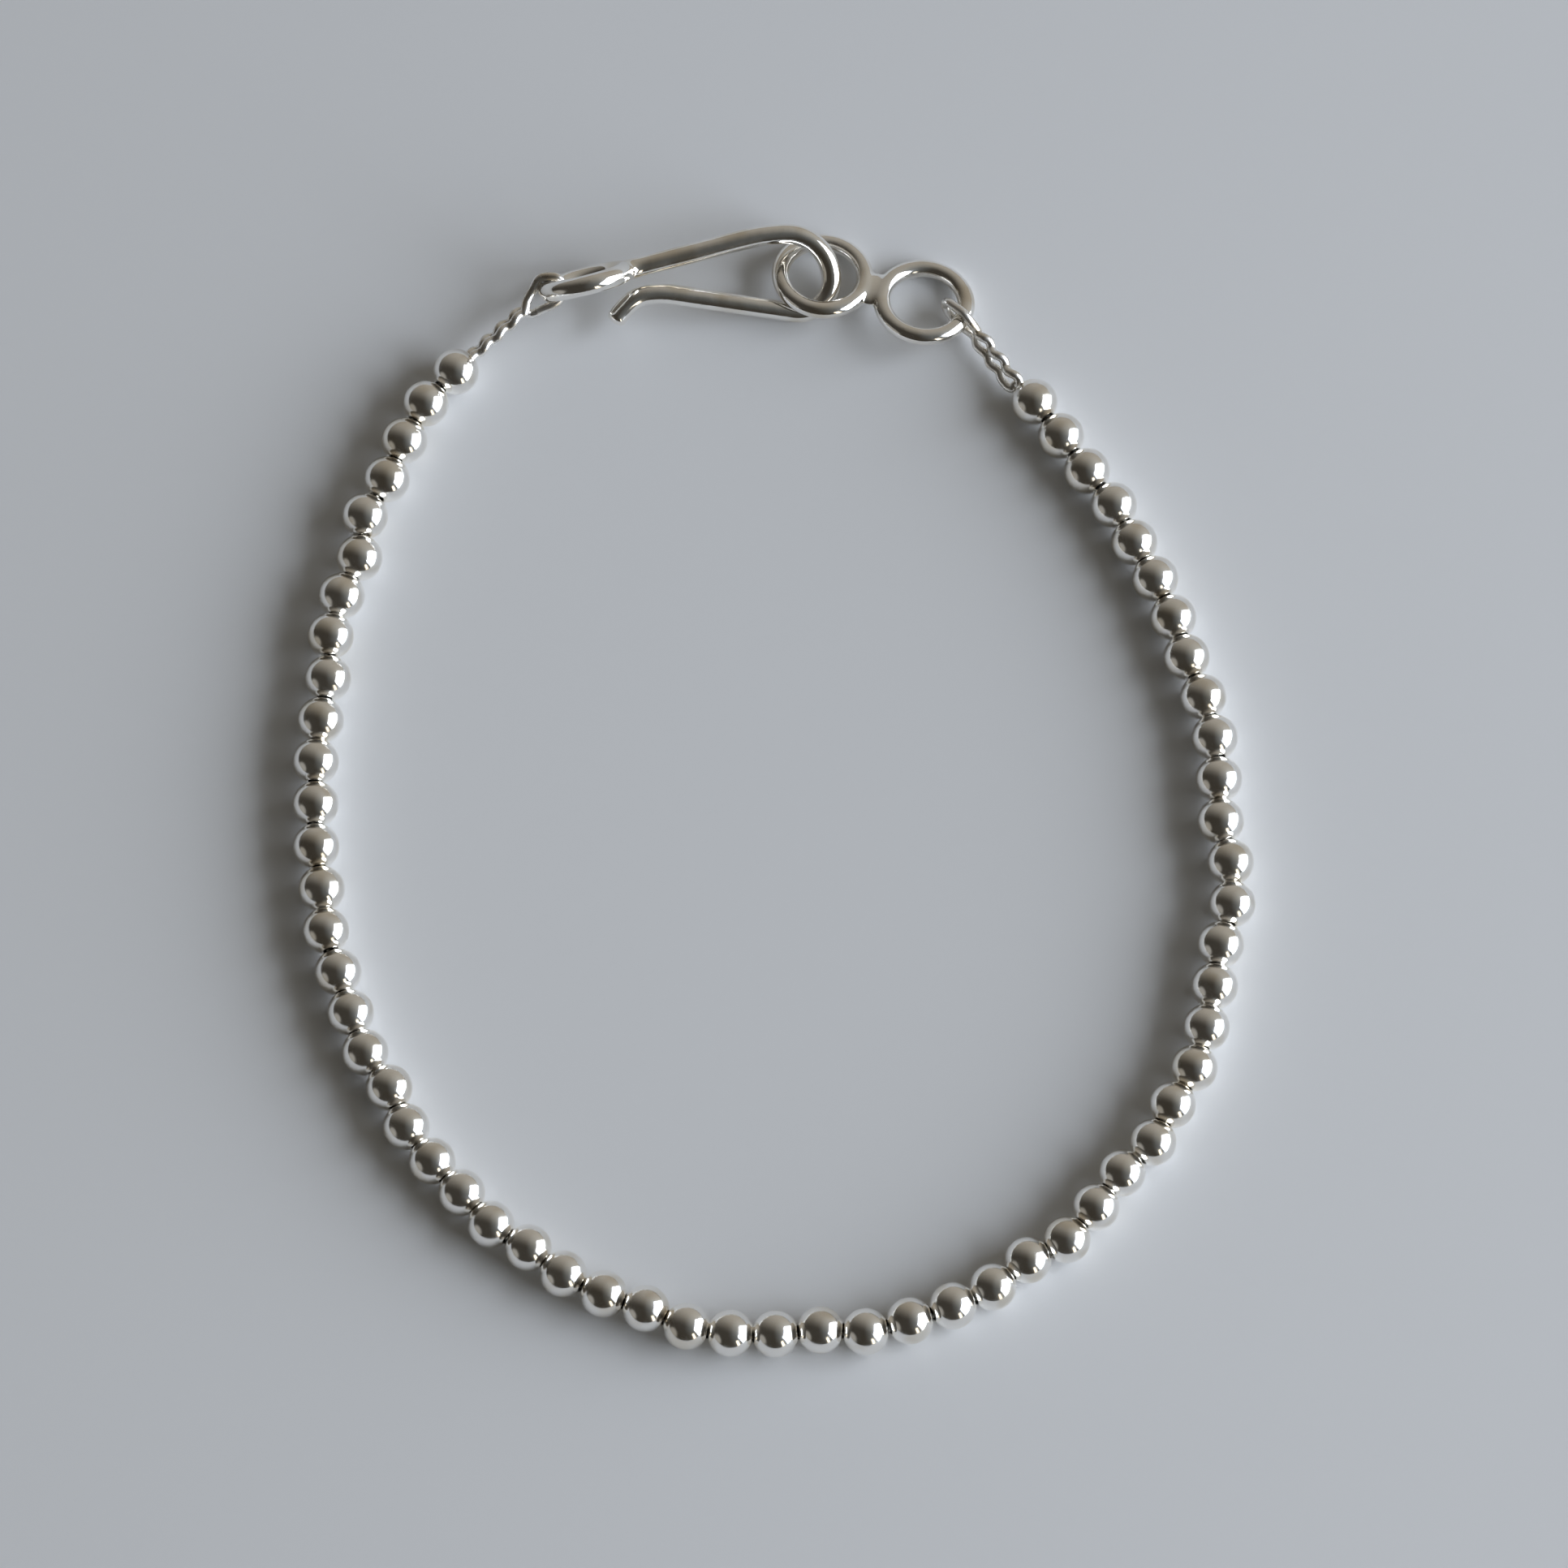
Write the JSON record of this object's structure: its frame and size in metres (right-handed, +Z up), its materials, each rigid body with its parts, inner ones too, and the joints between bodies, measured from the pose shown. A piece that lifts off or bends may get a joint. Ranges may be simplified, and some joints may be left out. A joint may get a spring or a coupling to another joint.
{
  "type": "beaded bracelet",
  "caption": "Bracelet of small round polished silver beads on wire, closed by a wire hook through a figure-eight ring.",
  "frame": {"origin": "middle of the bracelet's footprint, on the surface that it lies on", "axes": "+Z up from the surface, +Y towards the clasp, +X from the hook's eye towards the figure-eight ring"},
  "size_m": [0.0512, 0.0633, 0.0049],
  "materials": {
    "bead_silver": "polished silver",
    "hook_silver": "polished silver wire",
    "ring_silver": "polished silver wire",
    "loop_silver": "fine twisted silver wire"
  },
  "bodies": {
    "root": {"bead_string": "bead_silver", "hook": "hook_silver", "figure_eight_ring": "ring_silver", "hook_end_wire_loop": "loop_silver", "ring_end_wire_loop": "loop_silver"}
  },
  "joints": []
}
